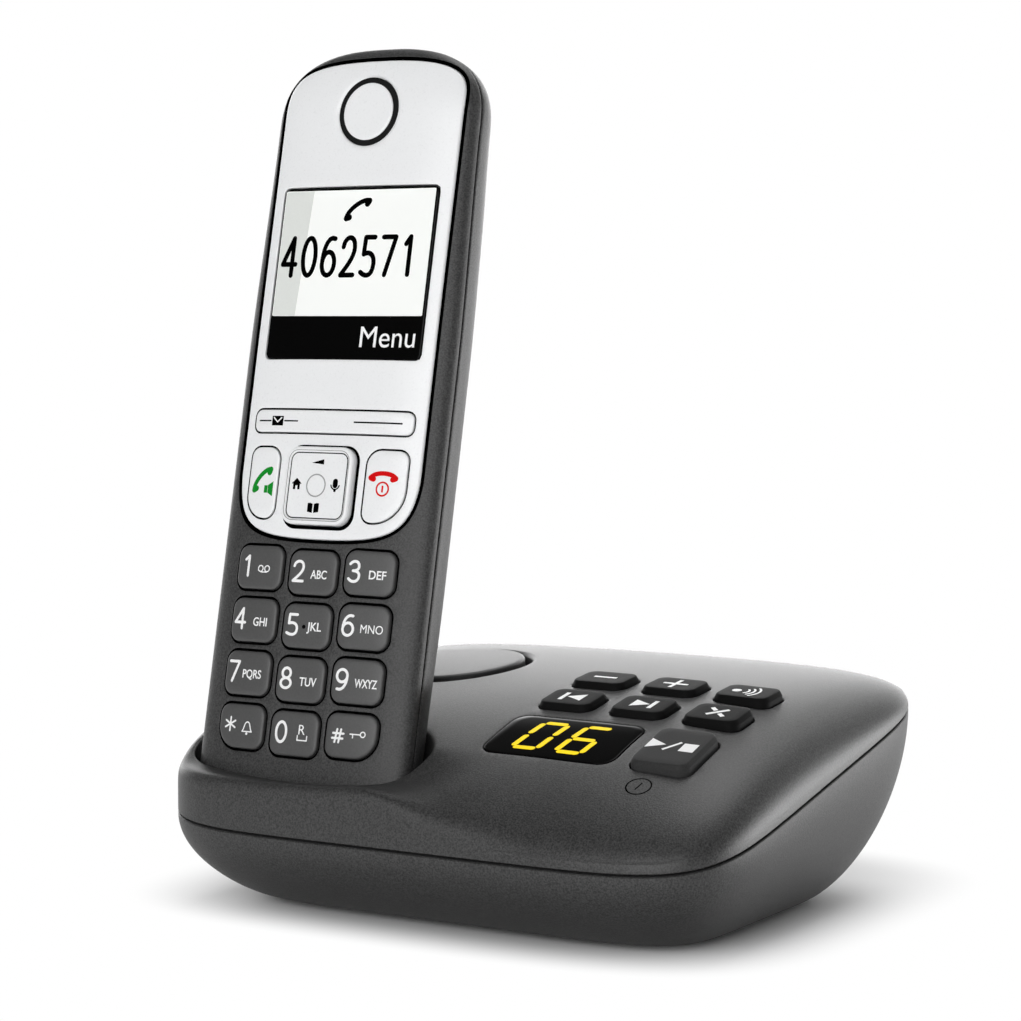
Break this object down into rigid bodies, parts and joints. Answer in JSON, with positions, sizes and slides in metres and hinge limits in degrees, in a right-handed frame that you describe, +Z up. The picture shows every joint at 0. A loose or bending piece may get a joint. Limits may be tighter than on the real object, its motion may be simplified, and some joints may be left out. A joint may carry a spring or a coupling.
{
  "type": "cordless phone with base",
  "caption": "Leaning cordless handset with keypad and screen, standing in a low charging base with message keys, a counter window and a loudspeaker.",
  "frame": {"origin": "on the table under the middle of the base", "axes": "+X to the right, -Y towards the user, +Z up"},
  "size_m": [0.1244, 0.1018, 0.1674],
  "materials": {
    "shell": "fine grained anthracite",
    "disc": "fine grained grey",
    "dark_key": "satin near black",
    "grey_key": "satin mid grey",
    "silver": "satin silver lacquer",
    "black_window": "polished",
    "screen": "polished",
    "black_plastic": "moulded",
    "rubber": "matt",
    "circuit": "solder mask",
    "contact": "plated",
    "steel": "bright"
  },
  "bodies": {
    "base": {"base_top_shell": "shell", "base_bottom_shell": "shell", "loudspeaker_cap": "disc", "base_loudspeaker": "steel", "counter_window": "black_window", "counter_display": "black_plastic", "base_key_mat": "rubber", "base_circuit_board": "circuit", "base_screw_left": "steel", "base_screw_right": "steel", "line_socket": "black_plastic", "power_socket": "black_plastic", "foot_front_left": "rubber", "foot_front_right": "rubber", "foot_back_left": "rubber", "foot_back_right": "rubber", "base_contact_left": "contact", "base_contact_right": "contact"},
    "handset": {"handset_front_shell": "shell", "handset_back_shell": "shell", "face_cover": "silver", "display_window": "screen", "display_module": "steel", "earpiece_disc": "silver", "earpiece_speaker": "steel", "handset_circuit_board": "circuit", "handset_key_mat": "rubber", "microphone": "steel", "battery_left": "steel", "battery_right": "steel", "handset_contact_left": "contact", "handset_contact_right": "contact"},
    "volume_down_key_body": {"volume_down_key": "dark_key"},
    "volume_up_key_body": {"volume_up_key": "dark_key"},
    "paging_key_body": {"paging_key": "dark_key"},
    "skip_back_key_body": {"skip_back_key": "dark_key"},
    "skip_forward_key_body": {"skip_forward_key": "dark_key"},
    "delete_key_body": {"delete_key": "dark_key"},
    "play_stop_key_body": {"play_stop_key": "dark_key"},
    "key_1_body": {"key_1": "grey_key"},
    "key_2_body": {"key_2": "grey_key"},
    "key_3_body": {"key_3": "grey_key"},
    "key_4_body": {"key_4": "grey_key"},
    "key_5_body": {"key_5": "grey_key"},
    "key_6_body": {"key_6": "grey_key"},
    "key_7_body": {"key_7": "grey_key"},
    "key_8_body": {"key_8": "grey_key"},
    "key_9_body": {"key_9": "grey_key"},
    "key_star_body": {"key_star": "grey_key"},
    "key_0_body": {"key_0": "grey_key"},
    "key_hash_body": {"key_hash": "grey_key"},
    "talk_key_body": {"talk_key": "silver"},
    "end_key_body": {"end_key": "silver"},
    "navigation_key_body": {"navigation_key": "silver"},
    "soft_key_bar_body": {"soft_key_bar": "silver"},
    "battery_cover_body": {"battery_cover": "shell"}
  },
  "joints": [
    {"name": "handset_lift", "type": "slide", "parent": "base", "child": "handset", "axis": [0, 0.2076, 0.9782], "range_m": [0, 0.05]},
    {"name": "volume_down_key_press", "type": "slide", "parent": "base", "child": "volume_down_key_body", "axis": [-0.0087, 0.1252, -0.9921], "range_m": [0, 0.0008], "stiffness_N_per_m": 300},
    {"name": "volume_up_key_press", "type": "slide", "parent": "base", "child": "volume_up_key_body", "axis": [-0.0212, 0.1252, -0.9919], "range_m": [0, 0.0008], "stiffness_N_per_m": 300},
    {"name": "paging_key_press", "type": "slide", "parent": "base", "child": "paging_key_body", "axis": [-0.0337, 0.1252, -0.9916], "range_m": [0, 0.0008], "stiffness_N_per_m": 300},
    {"name": "skip_back_key_press", "type": "slide", "parent": "base", "child": "skip_back_key_body", "axis": [-0.0092, 0.1989, -0.98], "range_m": [0, 0.0008], "stiffness_N_per_m": 300},
    {"name": "skip_forward_key_press", "type": "slide", "parent": "base", "child": "skip_forward_key_body", "axis": [-0.0217, 0.1989, -0.9798], "range_m": [0, 0.0008], "stiffness_N_per_m": 300},
    {"name": "delete_key_press", "type": "slide", "parent": "base", "child": "delete_key_body", "axis": [-0.0342, 0.1988, -0.9794], "range_m": [0, 0.0008], "stiffness_N_per_m": 300},
    {"name": "play_stop_key_press", "type": "slide", "parent": "base", "child": "play_stop_key_body", "axis": [-0.0339, 0.3092, -0.9504], "range_m": [0, 0.0008], "stiffness_N_per_m": 300},
    {"name": "key_1_press", "type": "slide", "parent": "handset", "child": "key_1_body", "axis": [0, 0.9782, -0.2076], "range_m": [0, 0.0005], "stiffness_N_per_m": 300},
    {"name": "key_2_press", "type": "slide", "parent": "handset", "child": "key_2_body", "axis": [0, 0.9782, -0.2076], "range_m": [0, 0.0005], "stiffness_N_per_m": 300},
    {"name": "key_3_press", "type": "slide", "parent": "handset", "child": "key_3_body", "axis": [0, 0.9782, -0.2076], "range_m": [0, 0.0005], "stiffness_N_per_m": 300},
    {"name": "key_4_press", "type": "slide", "parent": "handset", "child": "key_4_body", "axis": [0, 0.9782, -0.2076], "range_m": [0, 0.0005], "stiffness_N_per_m": 300},
    {"name": "key_5_press", "type": "slide", "parent": "handset", "child": "key_5_body", "axis": [0, 0.9782, -0.2076], "range_m": [0, 0.0005], "stiffness_N_per_m": 300},
    {"name": "key_6_press", "type": "slide", "parent": "handset", "child": "key_6_body", "axis": [0, 0.9782, -0.2076], "range_m": [0, 0.0005], "stiffness_N_per_m": 300},
    {"name": "key_7_press", "type": "slide", "parent": "handset", "child": "key_7_body", "axis": [0, 0.9782, -0.2076], "range_m": [0, 0.0005], "stiffness_N_per_m": 300},
    {"name": "key_8_press", "type": "slide", "parent": "handset", "child": "key_8_body", "axis": [0, 0.9782, -0.2076], "range_m": [0, 0.0005], "stiffness_N_per_m": 300},
    {"name": "key_9_press", "type": "slide", "parent": "handset", "child": "key_9_body", "axis": [0, 0.9782, -0.2076], "range_m": [0, 0.0005], "stiffness_N_per_m": 300},
    {"name": "key_star_press", "type": "slide", "parent": "handset", "child": "key_star_body", "axis": [0, 0.9782, -0.2076], "range_m": [0, 0.0005], "stiffness_N_per_m": 300},
    {"name": "key_0_press", "type": "slide", "parent": "handset", "child": "key_0_body", "axis": [0, 0.9782, -0.2076], "range_m": [0, 0.0005], "stiffness_N_per_m": 300},
    {"name": "key_hash_press", "type": "slide", "parent": "handset", "child": "key_hash_body", "axis": [0, 0.9782, -0.2076], "range_m": [0, 0.0005], "stiffness_N_per_m": 300},
    {"name": "talk_key_press", "type": "slide", "parent": "handset", "child": "talk_key_body", "axis": [0, 0.9782, -0.2076], "range_m": [0, 0.0005], "stiffness_N_per_m": 300},
    {"name": "end_key_press", "type": "slide", "parent": "handset", "child": "end_key_body", "axis": [0, 0.9782, -0.2076], "range_m": [0, 0.0005], "stiffness_N_per_m": 300},
    {"name": "navigation_key_tilt", "type": "hinge", "parent": "handset", "child": "navigation_key_body", "pos_m": [-0.03275, -0.02773, 0.08136], "axis": [1, 0, 0], "range_deg": [-2.5, 2.5], "stiffness_Nm_per_rad": 0.16},
    {"name": "soft_key_bar_tilt", "type": "hinge", "parent": "handset", "child": "soft_key_bar_body", "pos_m": [-0.0318, -0.02509, 0.09378], "axis": [0, 0.2076, 0.9782], "range_deg": [-1, 1], "stiffness_Nm_per_rad": 0.5},
    {"name": "battery_cover_lift", "type": "slide", "parent": "handset", "child": "battery_cover_body", "axis": [0, 0.9782, -0.2076], "range_m": [0, 0.006]}
  ]
}
